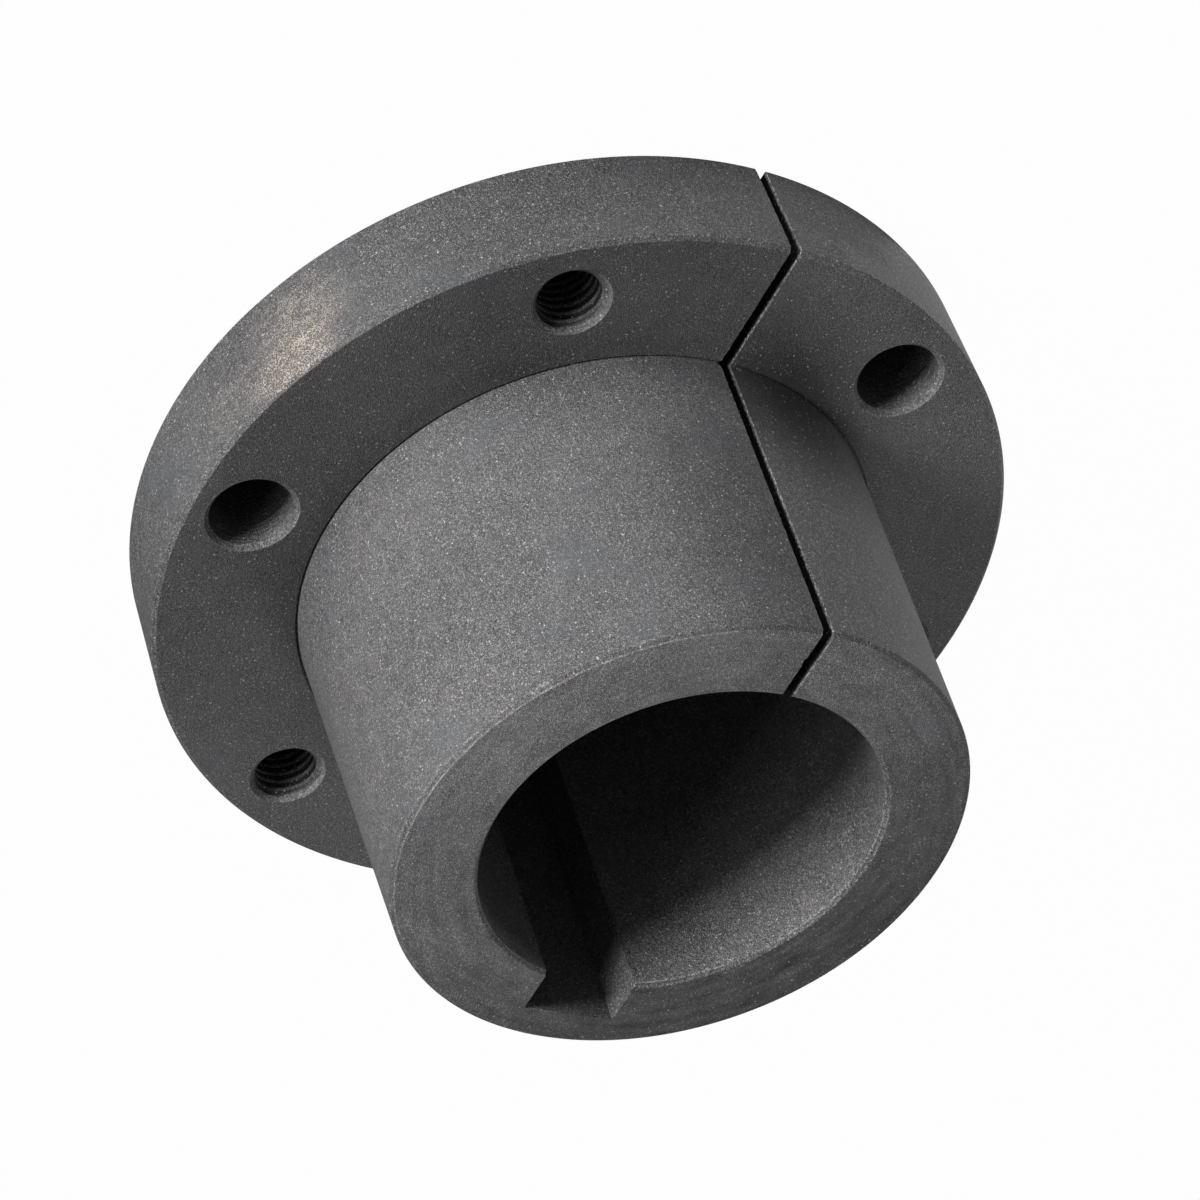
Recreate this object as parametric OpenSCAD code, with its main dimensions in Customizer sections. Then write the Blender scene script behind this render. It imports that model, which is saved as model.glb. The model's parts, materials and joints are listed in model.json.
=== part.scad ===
/* [Barrel] */
// Length from the back of the flange to the small end
length = 92.9; // [70:0.5:120]
// Diameter of the tapered barrel where it leaves the flange
barrel_d = 112.7125; // [104:0.5:140]
// Loss of barrel diameter over each millimetre of its length
taper = 0.0625; // [0.03:0.0025:0.08]
// Width of the turned relief around the foot of the barrel
relief_w = 0.45; // [0.3:0.05:1.2]
// Depth of that relief below the flange face
relief_h = 0.5; // [0.3:0.05:1.5]

/* [Flange] */
// Thickness of the flange
flange_t = 23.8125; // [16:0.5:30]
// Width of flange from the foot of the barrel out to the centres of the screw holes
inner_w = 15.08125; // [11:0.25:20]
// Width of flange from the centres of the screw holes out to its rim
outer_w = 12.7; // [11:0.25:20]

/* [Bore] */
// Diameter of the bore
bore_d = 76.2; // [60:0.5:82]
// Width of the keyway
key_w = 19.05; // [12:0.5:22]
// Depth of the keyway, measured down its side wall
key_h = 9.525; // [4:0.5:10]
// Width of the saw cut that lets the bushing close on its shaft
slit_w = 2.3; // [1.5:0.1:4]

/* [Screw holes] */
// Number of plain holes, and of threaded holes between them
holes = 3; // [2:1:4]
// Diameter of the plain holes, a clearance on the screws
plain_d = 15.875; // [10:0.5:18]
// Outside diameter of the thread in the threaded holes
thread_d = 14.2875; // [10:0.5:16]
// Pitch of that thread
thread_pitch = 2.1167; // [1:0.05:2.2]
// Width that the countersink stands outside the thread
sink_w = 0.45; // [0.05:0.05:0.8]

/* [Edges] */
// Chamfer on the front edge of the flange
rim_chamfer = 0.85; // [0.3:0.05:2]
// Chamfer on the outer edge of the small end
nose_chamfer = 0.85; // [0.3:0.05:2]
// Chamfer on both ends of the bore
bore_chamfer = 0.8; // [0.3:0.05:2]
// Chamfer on both ends of the plain holes
hole_chamfer = 1; // [0.3:0.05:1.5]

/* [Hidden] */
$fn = 128;

full_turn = 360;
// How far a cutting shape runs past the face that it opens
past = 1;
dark_grey = [0.2, 0.2, 0.21];

barrel_r = barrel_d / 2;
bore_r = bore_d / 2;
screw_circle_r = barrel_r + inner_w;
flange_r = screw_circle_r + outer_w;
nose_r = barrel_r - (length - flange_t) * taper / 2;
nose_edge_r = nose_r + nose_chamfer * taper / 2;

// The keyway's floor lies its depth beyond where its side wall meets the bore
key_floor = sqrt(bore_r * bore_r - key_w * key_w / 4) + key_h;

// The keyway is on +X and the saw cut is opposite it, midway between two holes
hole_step = full_turn / holes;
plain_angle = hole_step / 4;
thread_angle = -plain_angle;

// Core that is left inside the thread, by the usual rule for a tapping drill
core_d = thread_d - thread_pitch;
sink_r = thread_d / 2 + sink_w;

// A 45 degree mouth, wider by "size" at the face it is drawn on, widening along +Z
module mouth(hole_r, size) {
    translate([0, 0, -size])
        cylinder(r1 = hole_r, r2 = hole_r + size + past, h = size + past);
}

// A hole through a wall from z = 0 to z = wall with a 45 degree mouth at each end
module edged_hole(hole_r, size, wall) {
    translate([0, 0, -past])
        cylinder(r = hole_r, h = wall + 2 * past);
    translate([0, 0, wall])
        mouth(hole_r, size);
    mirror([0, 0, 1])
        mouth(hole_r, size);
}

// Holes spaced evenly around the flange, the first one at "first_angle"
module hole_ring(first_angle, hole_r, size) {
    for (i = [0 : holes - 1])
        rotate([0, 0, first_angle + i * hole_step])
            translate([screw_circle_r, 0, 0])
                edged_hole(hole_r, size, flange_t);
}

// Flange and tapered barrel, turned in one piece
module turned_blank() {
    rotate_extrude()
        polygon([
            [0, 0],
            [flange_r, 0],
            [flange_r, flange_t - rim_chamfer],
            [flange_r - rim_chamfer, flange_t],
            [barrel_r + relief_w, flange_t],
            [barrel_r + relief_w, flange_t - relief_h],
            [barrel_r, flange_t - relief_h],
            [barrel_r, flange_t],
            [nose_edge_r, length - nose_chamfer],
            [nose_r - nose_chamfer, length],
            [0, length]
        ]);
}

// Keyway along the whole bore
module keyway() {
    translate([0, -key_w / 2, -past])
        cube([key_floor, key_w, length + 2 * past]);
}

// Saw cut through one side of the flange and of the barrel
module saw_cut() {
    translate([-flange_r - past, -slit_w / 2, -past])
        cube([flange_r + past, slit_w, length + 2 * past]);
}

module bushing() {
    color(dark_grey)
        difference() {
            turned_blank();
            edged_hole(bore_r, bore_chamfer, length);
            keyway();
            saw_cut();
            hole_ring(plain_angle, plain_d / 2, hole_chamfer);
            hole_ring(thread_angle, core_d / 2, sink_r - core_d / 2);
        }
}

bushing();
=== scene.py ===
"""Looks of a quick disconnect bushing: a split, keyed taper bushing in black phosphated iron.

The bushing is one piece of metal. A Geometry Nodes tree turns its section into a solid, cuts the keyway,
the saw cut, the plain holes and the threaded holes with their real thread, and nicks the edges of the saw
cut. One finish dresses it. A studio of a white floor, soft lamps and a camera stands round it.
"""

from __future__ import annotations

import json
import logging
import math
from dataclasses import dataclass
from enum import Enum

import bpy
import numpy as np
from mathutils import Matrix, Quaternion, Vector


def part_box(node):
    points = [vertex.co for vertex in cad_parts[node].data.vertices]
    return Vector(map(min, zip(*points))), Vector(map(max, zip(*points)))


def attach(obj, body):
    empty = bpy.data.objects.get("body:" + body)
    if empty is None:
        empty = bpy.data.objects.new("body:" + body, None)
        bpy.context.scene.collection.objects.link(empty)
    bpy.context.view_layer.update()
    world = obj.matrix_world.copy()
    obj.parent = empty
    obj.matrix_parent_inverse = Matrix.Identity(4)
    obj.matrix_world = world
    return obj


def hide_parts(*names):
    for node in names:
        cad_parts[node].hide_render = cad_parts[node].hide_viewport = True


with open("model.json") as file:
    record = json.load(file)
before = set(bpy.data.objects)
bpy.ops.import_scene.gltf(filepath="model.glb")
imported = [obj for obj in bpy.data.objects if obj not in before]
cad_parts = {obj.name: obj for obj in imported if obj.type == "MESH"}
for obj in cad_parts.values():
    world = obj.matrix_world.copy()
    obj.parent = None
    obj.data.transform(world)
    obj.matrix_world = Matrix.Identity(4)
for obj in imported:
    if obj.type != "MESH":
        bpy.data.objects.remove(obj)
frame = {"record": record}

logging.basicConfig(level=logging.INFO, format="%(message)s")
log = logging.getLogger("bushing")

MM = 0.001
WHITE = (1.0, 1.0, 1.0, 1.0)
NODE = "bushing"
BODY = "root"


@dataclass(frozen=True)
class Signal:
    """A number that varies, carried by one socket of a node tree. Arithmetic on it adds Math nodes."""

    graph: Graph
    socket: bpy.types.NodeSocket

    def math(self, operation: str, *others: Operand, clamp: bool = False) -> Signal:
        """Adds a Math node.

        Args:
            operation: the Math node's operation.
            others: the second and third values.
            clamp: whether the result is held between 0 and 1.

        Returns:
            The node's result.
        """
        return self.graph.math(operation, self, *others, clamp=clamp)

    def __add__(self, other: Operand) -> Signal:
        """Sum."""
        return self.math("ADD", other)

    def __radd__(self, other: Operand) -> Signal:
        """Sum, with the number on the left."""
        return self.math("ADD", other)

    def __sub__(self, other: Operand) -> Signal:
        """Difference."""
        return self.math("SUBTRACT", other)

    def __rsub__(self, other: Operand) -> Signal:
        """Difference, with the number on the left."""
        return self.graph.math("SUBTRACT", other, self)

    def __mul__(self, other: Operand) -> Signal:
        """Product."""
        return self.math("MULTIPLY", other)

    def __rmul__(self, other: Operand) -> Signal:
        """Product, with the number on the left."""
        return self.math("MULTIPLY", other)

    def __truediv__(self, other: Operand) -> Signal:
        """Quotient."""
        return self.math("DIVIDE", other)

    def __rtruediv__(self, other: Operand) -> Signal:
        """Quotient, with the number on the left."""
        return self.graph.math("DIVIDE", other, self)

    def __abs__(self) -> Signal:
        """Size without its sign."""
        return self.math("ABSOLUTE")

    def hold(self) -> Signal:
        """The value held between 0 and 1."""
        return self.math("ADD", 0.0, clamp=True)

    def step(self, low: float, high: float) -> Signal:
        """A smooth step.

        Args:
            low: where the result is 0.
            high: where the result is 1; it may be the smaller of the two.

        Returns:
            A value that runs smoothly from 0 to 1.
        """
        ends = (low, high, 0.0, 1.0) if low < high else (high, low, 1.0, 0.0)
        names = ("From Min", "From Max", "To Min", "To Max")
        inputs = dict(zip(names, ends)) | {"Value": self}
        made = self.graph.node("ShaderNodeMapRange", {"interpolation_type": "SMOOTHSTEP"}, inputs)
        return Signal(self.graph, made.outputs["Result"])

    def band(self, start: float, full: float, fade: float, end: float) -> Signal:
        """Marks a range of values.

        Args:
            start: where the mark starts to rise from 0.
            full: where it has reached 1.
            fade: where it starts to fall from 1.
            end: where it is 0 again.

        Returns:
            1 in the range and 0 off it.
        """
        return self.step(start, full) * self.step(end, fade)


Operand = Signal | float | int
Plug = Signal | bpy.types.NodeSocket
Settings = dict[str, object]
Inputs = dict[str | int, object]


class Graph:
    """Adds nodes to a shader tree or a geometry tree."""

    def __init__(self, tree: bpy.types.NodeTree) -> None:
        """Keeps the tree.

        Args:
            tree: the tree that the nodes go into.
        """
        self.tree = tree

    def node(self, kind: str, settings: Settings | None = None,
             inputs: Inputs | None = None) -> bpy.types.Node:
        """Adds one node of any type.

        Args:
            kind: the node's type.
            settings: the node's own settings, set first.
            inputs: a value, a link or a list of links for each socket named.

        Returns:
            The node.
        """
        made = self.tree.nodes.new(kind)
        for name, value in (settings or {}).items():
            setattr(made, name, value)
        for name, value in (inputs or {}).items():
            self.fill(made.inputs[name], value)
        return made

    def fill(self, socket: bpy.types.NodeSocket, value: object) -> None:
        """Links a socket, or sets its number.

        Args:
            socket: the socket to fill.
            value: a Signal, a socket, a list of sockets or a plain value.
        """
        for one in value if isinstance(value, list) else [value]:
            if isinstance(one, Signal):
                self.tree.links.new(one.socket, socket)
            elif isinstance(one, bpy.types.NodeSocket):
                self.tree.links.new(one, socket)
            else:
                socket.default_value = one

    def math(self, operation: str, *values: Operand, clamp: bool = False) -> Signal:
        """Adds a Math node.

        Args:
            operation: the node's operation.
            values: its values, in order.
            clamp: whether the result is held between 0 and 1.

        Returns:
            The node's result.
        """
        settings = {"operation": operation, "use_clamp": clamp}
        made = self.node("ShaderNodeMath", settings, dict(enumerate(values)))
        return Signal(self, made.outputs[0])

    def signal(self, socket: bpy.types.NodeSocket) -> Signal:
        """A socket as a Signal."""
        return Signal(self, socket)


class Shaping(Graph):
    """A Geometry Nodes tree with named inputs, run once to give a plain mesh."""

    def __init__(self, name: str) -> None:
        """Makes an empty tree with its way in and its way out.

        Args:
            name: the tree's name.
        """
        tree = bpy.data.node_groups.new(name, "GeometryNodeTree")
        super().__init__(tree)
        tree.interface.new_socket("Section", in_out="INPUT", socket_type="NodeSocketGeometry")
        tree.interface.new_socket("Solid", in_out="OUTPUT", socket_type="NodeSocketGeometry")
        self.entry = tree.nodes.new("NodeGroupInput")
        self.given: dict[str, object] = {}

    def size(self, name: str, value: float | int) -> Signal:
        """Adds a named input.

        Args:
            name: the input's name.
            value: its value; a whole number makes a whole-number input.

        Returns:
            The input, ready for arithmetic.
        """
        kind = "NodeSocketInt" if isinstance(value, int) else "NodeSocketFloat"
        item = self.tree.interface.new_socket(name, in_out="INPUT", socket_type=kind)
        self.given[item.identifier] = value
        return self.signal(self.entry.outputs[name])

    def section(self) -> bpy.types.NodeSocket:
        """The loop that goes into the tree, as a curve."""
        return self.node("GeometryNodeMeshToCurve", {}, {"Mesh": self.entry.outputs["Section"]}).outputs[0]

    def vector(self, x: Operand = 0.0, y: Operand = 0.0, z: Operand = 0.0) -> bpy.types.NodeSocket:
        """Joins three numbers.

        Args:
            x: the first number.
            y: the second number.
            z: the third number.

        Returns:
            The vector's socket.
        """
        return self.node("ShaderNodeCombineXYZ", {}, {"X": x, "Y": y, "Z": z}).outputs[0]

    def moved(self, geometry: bpy.types.NodeSocket, place: Plug | tuple = (0.0, 0.0, 0.0),
              turn: tuple[float, float, float] = (0.0, 0.0, 0.0),
              scale: tuple[float, float, float] = (1.0, 1.0, 1.0)) -> bpy.types.NodeSocket:
        """Moves, turns or scales a geometry.

        Args:
            geometry: what to move.
            place: how far it moves.
            turn: its turn about X, Y and Z in radians.
            scale: its scale along X, Y and Z.

        Returns:
            The moved geometry.
        """
        inputs = {"Geometry": geometry, "Translation": place, "Rotation": turn, "Scale": scale}
        return self.node("GeometryNodeTransform", {}, inputs).outputs[0]

    def around(self, geometry: bpy.types.NodeSocket, ring: Ring) -> bpy.types.NodeSocket:
        """Repeats a geometry evenly on a circle.

        Args:
            geometry: what to repeat.
            ring: the circle, how many copies stand on it and where the first one stands.

        Returns:
            The copies, as one real mesh.
        """
        circle = self.node("GeometryNodeMeshCircle", {}, {"Vertices": ring.count, "Radius": ring.radius})
        turned = self.moved(circle.outputs[0], turn=(0.0, 0.0, ring.first_angle))
        inputs = {"Points": turned, "Instance": geometry}
        copies = self.node("GeometryNodeInstanceOnPoints", {}, inputs)
        return self.node("GeometryNodeRealizeInstances", {}, {"Geometry": copies.outputs[0]}).outputs[0]

    def cut(self, solid: bpy.types.NodeSocket, cutters: list[bpy.types.NodeSocket]) -> bpy.types.NodeSocket:
        """Cuts shapes out of a solid.

        Args:
            solid: the closed mesh to cut.
            cutters: the closed meshes that are taken away.

        Returns:
            What is left.
        """
        settings = {"operation": "DIFFERENCE", "solver": "MANIFOLD"}
        inputs = {"Mesh 1": solid, "Mesh 2": cutters}
        return self.node("GeometryNodeMeshBoolean", settings, inputs).outputs[0]

    def swept(self, path: bpy.types.NodeSocket, outline: bpy.types.NodeSocket) -> bpy.types.NodeSocket:
        """Sweeps a closed outline along a path, kept upright.

        Args:
            path: the curve to follow.
            outline: the closed curve; its X points away from the axis and its Y along the axis.

        Returns:
            The closed mesh.
        """
        upright = self.node("GeometryNodeSetCurveNormal", {"mode": "Z_UP"}, {"Curve": path})
        inputs = {"Curve": upright.outputs[0], "Profile Curve": outline, "Fill Caps": True}
        return self.node("GeometryNodeCurveToMesh", {}, inputs).outputs[0]

    def without_crumbs(self, solid: bpy.types.NodeSocket, least_points: int) -> bpy.types.NodeSocket:
        """Takes away loose crumbs that the cutters left.

        Args:
            solid: the mesh.
            least_points: how many points a part of the mesh needs to stay.

        Returns:
            The mesh without its crumbs.
        """
        island = self.node("GeometryNodeInputMeshIsland").outputs["Island Index"]
        inputs = {"Value": 1.0, "Group Index": island}
        count = self.signal(self.node("GeometryNodeAccumulateField", {}, inputs).outputs["Total"])
        inputs = {"Geometry": solid, "Selection": count.math("LESS_THAN", least_points)}
        return self.node("GeometryNodeDeleteGeometry", {"domain": "POINT"}, inputs).outputs[0]

    def finish(self, solid: bpy.types.NodeSocket, material: bpy.types.Material, sharp_angle: float) -> None:
        """Ends the tree: smooth shading up to an angle, real geometry and its material.

        Args:
            solid: the finished mesh.
            material: the material of all its faces.
            sharp_angle: the angle in radians past which an edge stays sharp.
        """
        inputs = {"Geometry": solid, "Shade Smooth": True}
        smooth = self.node("GeometryNodeSetShadeSmooth", {"domain": "FACE"}, inputs)
        angle = self.signal(self.node("GeometryNodeInputMeshEdgeAngle").outputs["Unsigned Angle"])
        sharp = angle.math("GREATER_THAN", sharp_angle)
        inputs = {"Geometry": smooth.outputs[0], "Selection": sharp, "Shade Smooth": False}
        edged = self.node("GeometryNodeSetShadeSmooth", {"domain": "EDGE"}, inputs)
        real = self.node("GeometryNodeRealizeInstances", {}, {"Geometry": edged.outputs[0]})
        inputs = {"Geometry": real.outputs[0], "Material": material}
        dressed = self.node("GeometryNodeSetMaterial", {}, inputs)
        self.node("NodeGroupOutput", {}, {0: dressed.outputs[0]})

    def run(self, name: str, start: bpy.types.Mesh) -> bpy.types.Object:
        """Runs the tree on a mesh.

        Args:
            name: the name of the piece.
            start: the mesh that goes in.

        Returns:
            An object at the origin with the plain mesh that came out.
        """
        piece = bpy.data.objects.new(name, start)
        bpy.context.scene.collection.objects.link(piece)
        modifier = piece.modifiers.new("shape", "NODES")
        modifier.node_group = self.tree
        for identifier, value in self.given.items():
            modifier[identifier] = value
        evaluated = piece.evaluated_get(bpy.context.evaluated_depsgraph_get())
        shaped = bpy.data.meshes.new_from_object(evaluated)
        for i in reversed(range(len(shaped.materials))):
            if shaped.materials[i] is None:
                shaped.materials.pop(index=i)
        piece.modifiers.remove(modifier)
        piece.data = shaped
        return piece


@dataclass(frozen=True)
class Ring:
    """A circle of like holes."""

    radius: Operand
    count: Operand
    first_angle: float


@dataclass(frozen=True)
class Corner:
    """A corner of the turned section: its distance from the axis, its height and its rounding."""

    radius: float
    height: float
    rounding: float


@dataclass(frozen=True)
class Chip:
    """A chip out of an edge, as an ellipsoid in millimetres."""

    place: tuple[float, float, float]
    size: tuple[float, float, float]


class Sizes:
    """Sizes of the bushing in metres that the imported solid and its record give."""

    def __init__(self) -> None:
        """Reads the box of the solid and the mounts of the record."""
        low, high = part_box(NODE)
        mounts = {mount["name"]: mount["dims"] for mount in frame["record"]["mounts"]}
        self.length = float(high[2] - low[2])
        self.bore_r = mounts["bore"]["r_mm"] * MM
        self.bore_chamfer = (self.length - mounts["bore"]["length_mm"] * MM) / 2
        self.screw_circle_r = mounts["plain_holes"]["pcd_mm"] * MM / 2
        self.holes = int(mounts["plain_holes"]["count"])
        self.plain_r = mounts["plain_holes"]["hole_r_mm"] * MM
        self.core_r = mounts["tapped_holes"]["hole_r_mm"] * MM


def rounded(corners: list[Corner], steps: int) -> list[tuple[float, float]]:
    """Rounds the corners of a closed outline with arcs.

    Args:
        corners: the corners in order.
        steps: how many short lines make each arc.

    Returns:
        The points of the rounded outline.
    """
    points = []
    for i, corner in enumerate(corners):
        following = corners[(i + 1) % len(corners)]
        here = np.array((corner.radius, corner.height))
        back = np.array((corners[i - 1].radius, corners[i - 1].height)) - here
        ahead = np.array((following.radius, following.height)) - here
        back /= np.linalg.norm(back)
        ahead /= np.linalg.norm(ahead)
        half = math.acos(float(back @ ahead)) / 2
        middle = (back + ahead) / np.linalg.norm(back + ahead)
        centre = here + middle * corner.rounding / math.sin(half)
        start = here + back * corner.rounding / math.tan(half) - centre
        end = here + ahead * corner.rounding / math.tan(half) - centre
        for k in range(steps + 1):
            spoke = start * (1 - k / steps) + end * k / steps
            spoke *= corner.rounding / np.linalg.norm(spoke)
            points.append(tuple(float(v) for v in centre + spoke))
    return points


@dataclass
class Bushing:
    """The bushing: a flange and a tapered barrel in one piece, keyed and split by a saw cut."""

    sizes: Sizes
    flange_t: float = 23.8125 * MM
    flange_r: float = 84.1375 * MM
    barrel_r: float = 56.35625 * MM
    taper: float = 0.0625
    relief_w: float = 0.45 * MM
    relief_h: float = 0.5 * MM
    edge_chamfer: float = 0.85 * MM
    back_break: float = 0.25 * MM
    hole_chamfer: float = 1.0 * MM
    key_w: float = 19.05 * MM
    key_h: float = 9.525 * MM
    slit_w: float = 2.3 * MM
    slit_wander: float = 0.12 * MM
    wander_scale: float = 120.0
    wander_detail: float = 3.0
    wander_roughness: float = 0.6
    slit_columns: int = 70
    slit_rows: int = 80
    thread_r: float = 7.14375 * MM
    thread_pitch: float = 2.1167 * MM
    thread_turn: float = math.radians(152)
    thread_half_angle: float = math.radians(30)
    thread_overlap: float = 0.3 * MM
    sink_w: float = 0.45 * MM
    past: float = 2.0 * MM
    soft_edge: float = 0.3 * MM
    fine_edge: float = 0.1 * MM
    arc_steps: int = 5
    steps_round: int = 360
    hole_steps: int = 96
    chip_count: int = 90
    chip_size: float = 0.22 * MM
    smallest_chip: tuple[float, float, float] = (0.5, 0.25, 0.5)
    largest_chip: tuple[float, float, float] = (1.6, 0.9, 1.8)
    first_chip_seed: int = 3
    crumb_points: int = 1000
    sharp_angle: float = math.radians(26)
    chips: tuple[Chip, ...] = (
        Chip((-54.66, 1.1, 78.0), (0.5, 0.4, 1.1)),
        Chip((-56.3, -1.1, 23.8), (0.7, 0.5, 0.6)),
        Chip((-56.6, 2.2, 24.2), (0.5, 0.8, 0.6)),
        Chip((-47.0, -1.1, 92.9), (0.9, 0.4, 0.4)),
    )

    def nose_r(self) -> float:
        """The radius that the taper reaches at the small end."""
        return self.barrel_r - (self.sizes.length - self.flange_t) * self.taper / 2

    def section(self) -> list[Corner]:
        """The turned section, once round from the back mouth of the bore.

        Returns:
            Its corners.
        """
        size = self.sizes
        nose_r = self.nose_r()
        nose_edge_r = nose_r + self.edge_chamfer * self.taper / 2
        relief_r = self.barrel_r + self.relief_w
        relief_z = self.flange_t - self.relief_h
        mouth_r = size.bore_r + size.bore_chamfer
        return [
            Corner(mouth_r, 0.0, self.fine_edge),
            Corner(self.flange_r - self.back_break, 0.0, self.fine_edge),
            Corner(self.flange_r, self.back_break, self.fine_edge),
            Corner(self.flange_r, self.flange_t - self.edge_chamfer, self.soft_edge),
            Corner(self.flange_r - self.edge_chamfer, self.flange_t, self.soft_edge),
            Corner(relief_r, self.flange_t, self.fine_edge),
            Corner(relief_r, relief_z, self.fine_edge),
            Corner(self.barrel_r, relief_z, self.fine_edge),
            Corner(nose_edge_r, size.length - self.edge_chamfer, self.soft_edge),
            Corner(nose_r - self.edge_chamfer, size.length, self.soft_edge),
            Corner(mouth_r, size.length, self.soft_edge),
            Corner(size.bore_r, size.length - size.bore_chamfer, self.soft_edge),
            Corner(size.bore_r, size.bore_chamfer, self.fine_edge),
        ]

    def outline(self) -> bpy.types.Mesh:
        """The rounded section as a loop of edges, with X as the distance from the axis and Y as the height.

        Returns:
            The loop.
        """
        points = rounded(self.section(), self.arc_steps)
        edges = [(i, (i + 1) % len(points)) for i in range(len(points))]
        loop = bpy.data.meshes.new("section")
        loop.from_pydata([(x, y, 0.0) for x, y in points], edges, [])
        return loop

    def blank(self, tree: Shaping) -> bpy.types.NodeSocket:
        """Turns the section into a ring.

        Args:
            tree: the tree to add to.

        Returns:
            The ring.
        """
        path_r = self.sizes.bore_r
        inputs = {"Resolution": tree.size("Steps round", self.steps_round), "Radius": path_r}
        path = tree.node("GeometryNodeCurvePrimitiveCircle", {"mode": "RADIUS"}, inputs).outputs[0]
        ring = tree.swept(path, tree.moved(tree.section(), (-path_r, 0.0, 0.0), (math.pi, 0.0, 0.0)))
        return tree.node("GeometryNodeFlipFaces", {}, {"Mesh": ring}).outputs[0]

    def keyway(self, tree: Shaping) -> bpy.types.NodeSocket:
        """The cutter of the keyway.

        Args:
            tree: the tree to add to.

        Returns:
            A box from the axis to the keyway's floor.
        """
        width = tree.size("Keyway width", self.key_w)
        depth = tree.size("Keyway depth", self.key_h)
        half = width / 2
        floor = (self.sizes.bore_r ** 2 - half * half).math("SQRT") + depth
        size = tree.vector(floor, width, self.sizes.length + 2 * self.past)
        box = tree.node("GeometryNodeMeshCube", {}, {"Size": size}).outputs[0]
        return tree.moved(box, tree.vector(floor / 2, 0.0, self.sizes.length / 2))

    def saw_cut(self, tree: Shaping) -> bpy.types.NodeSocket:
        """The cutter of the saw cut, whose walls wander a little as the blade did.

        Args:
            tree: the tree to add to.

        Returns:
            A box from the axis to past the rim, with slightly uneven walls.
        """
        reach = self.flange_r + self.past
        height = self.sizes.length + 2 * self.past
        size = tree.vector(reach, tree.size("Saw cut width", self.slit_w), height)
        inputs = {"Size": size, "Vertices X": self.slit_columns, "Vertices Z": self.slit_rows}
        box = tree.node("GeometryNodeMeshCube", {}, inputs).outputs[0]
        placed = tree.moved(box, (-reach / 2, 0.0, self.sizes.length / 2))
        where = tree.node("GeometryNodeInputPosition").outputs[0]
        inputs = {
            "Vector": where,
            "Scale": self.wander_scale,
            "Detail": self.wander_detail,
            "Roughness": self.wander_roughness,
        }
        noise = tree.node("ShaderNodeTexNoise", {}, inputs)
        sway = (tree.signal(noise.outputs["Fac"]) - 0.5) * tree.size("Saw cut wander", self.slit_wander) * 2
        inputs = {"Geometry": placed, "Offset": tree.vector(0.0, sway, 0.0)}
        return tree.node("GeometryNodeSetPosition", {}, inputs).outputs[0]

    def drill(self, tree: Shaping, radius: Signal, flare: Signal, ring: Ring) -> list[bpy.types.NodeSocket]:
        """The cutters of a ring of holes through the flange, each with a 45 degree mouth at both ends.

        Args:
            tree: the tree to add to.
            radius: the radius of the holes.
            flare: how much wider their mouths are.
            ring: where they stand.

        Returns:
            The drills and the two sets of mouths.
        """
        depth = self.flange_t + 2 * self.past
        reach = flare + self.past
        inputs = {"Vertices": self.hole_steps, "Radius": radius, "Depth": depth}
        rod = tree.node("GeometryNodeMeshCylinder", {}, inputs).outputs[0]
        drills = tree.around(tree.moved(rod, (0.0, 0.0, self.flange_t / 2)), ring)
        inputs = {"Vertices": self.hole_steps, "Depth": reach}
        inputs |= {"Radius Top": radius + reach, "Radius Bottom": radius}
        cone = tree.node("GeometryNodeMeshCone", {}, inputs).outputs[0]
        front = tree.around(tree.moved(cone, tree.vector(0.0, 0.0, self.flange_t - flare)), ring)
        inputs |= {"Radius Top": radius, "Radius Bottom": radius + reach}
        cone = tree.node("GeometryNodeMeshCone", {}, inputs).outputs[0]
        back = tree.around(tree.moved(cone, (0.0, 0.0, -self.past)), ring)
        return [drills, front, back]

    def tap(self, tree: Shaping, core: Signal, ring: Ring) -> bpy.types.NodeSocket:
        """The cutters of the thread: a 60 degree groove swept up a right-hand helix in each threaded hole.

        Args:
            tree: the tree to add to.
            core: the radius of the tapped holes' core.
            ring: where they stand.

        Returns:
            The grooves.
        """
        pitch = tree.size("Thread pitch", self.thread_pitch)
        major = tree.size("Thread radius", self.thread_r)
        flat = pitch / 8
        depth = major - core + self.thread_overlap
        wide = flat + depth * 2 * math.tan(self.thread_half_angle)
        inputs = {"Height": depth, "Bottom Width": wide, "Top Width": flat, "Offset": 0.0}
        groove = tree.node("GeometryNodeCurvePrimitiveQuadrilateral", {"mode": "TRAPEZOID"}, inputs)
        outline = tree.moved(groove.outputs[0], turn=(0.0, 0.0, -math.pi / 2))
        height = self.flange_t + 2 * self.past
        middle = (major + core - self.thread_overlap) / 2
        inputs = {
            "Resolution": self.hole_steps,
            "Rotations": height / pitch,
            "Start Radius": middle,
            "End Radius": middle,
            "Height": height,
            "Reverse": True,
        }
        helix = tree.node("GeometryNodeCurveSpiral", {}, inputs).outputs[0]
        swept = tree.swept(tree.moved(helix, (0.0, 0.0, -self.past), (0.0, 0.0, self.thread_turn)), outline)
        return tree.around(swept, ring)

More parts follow.
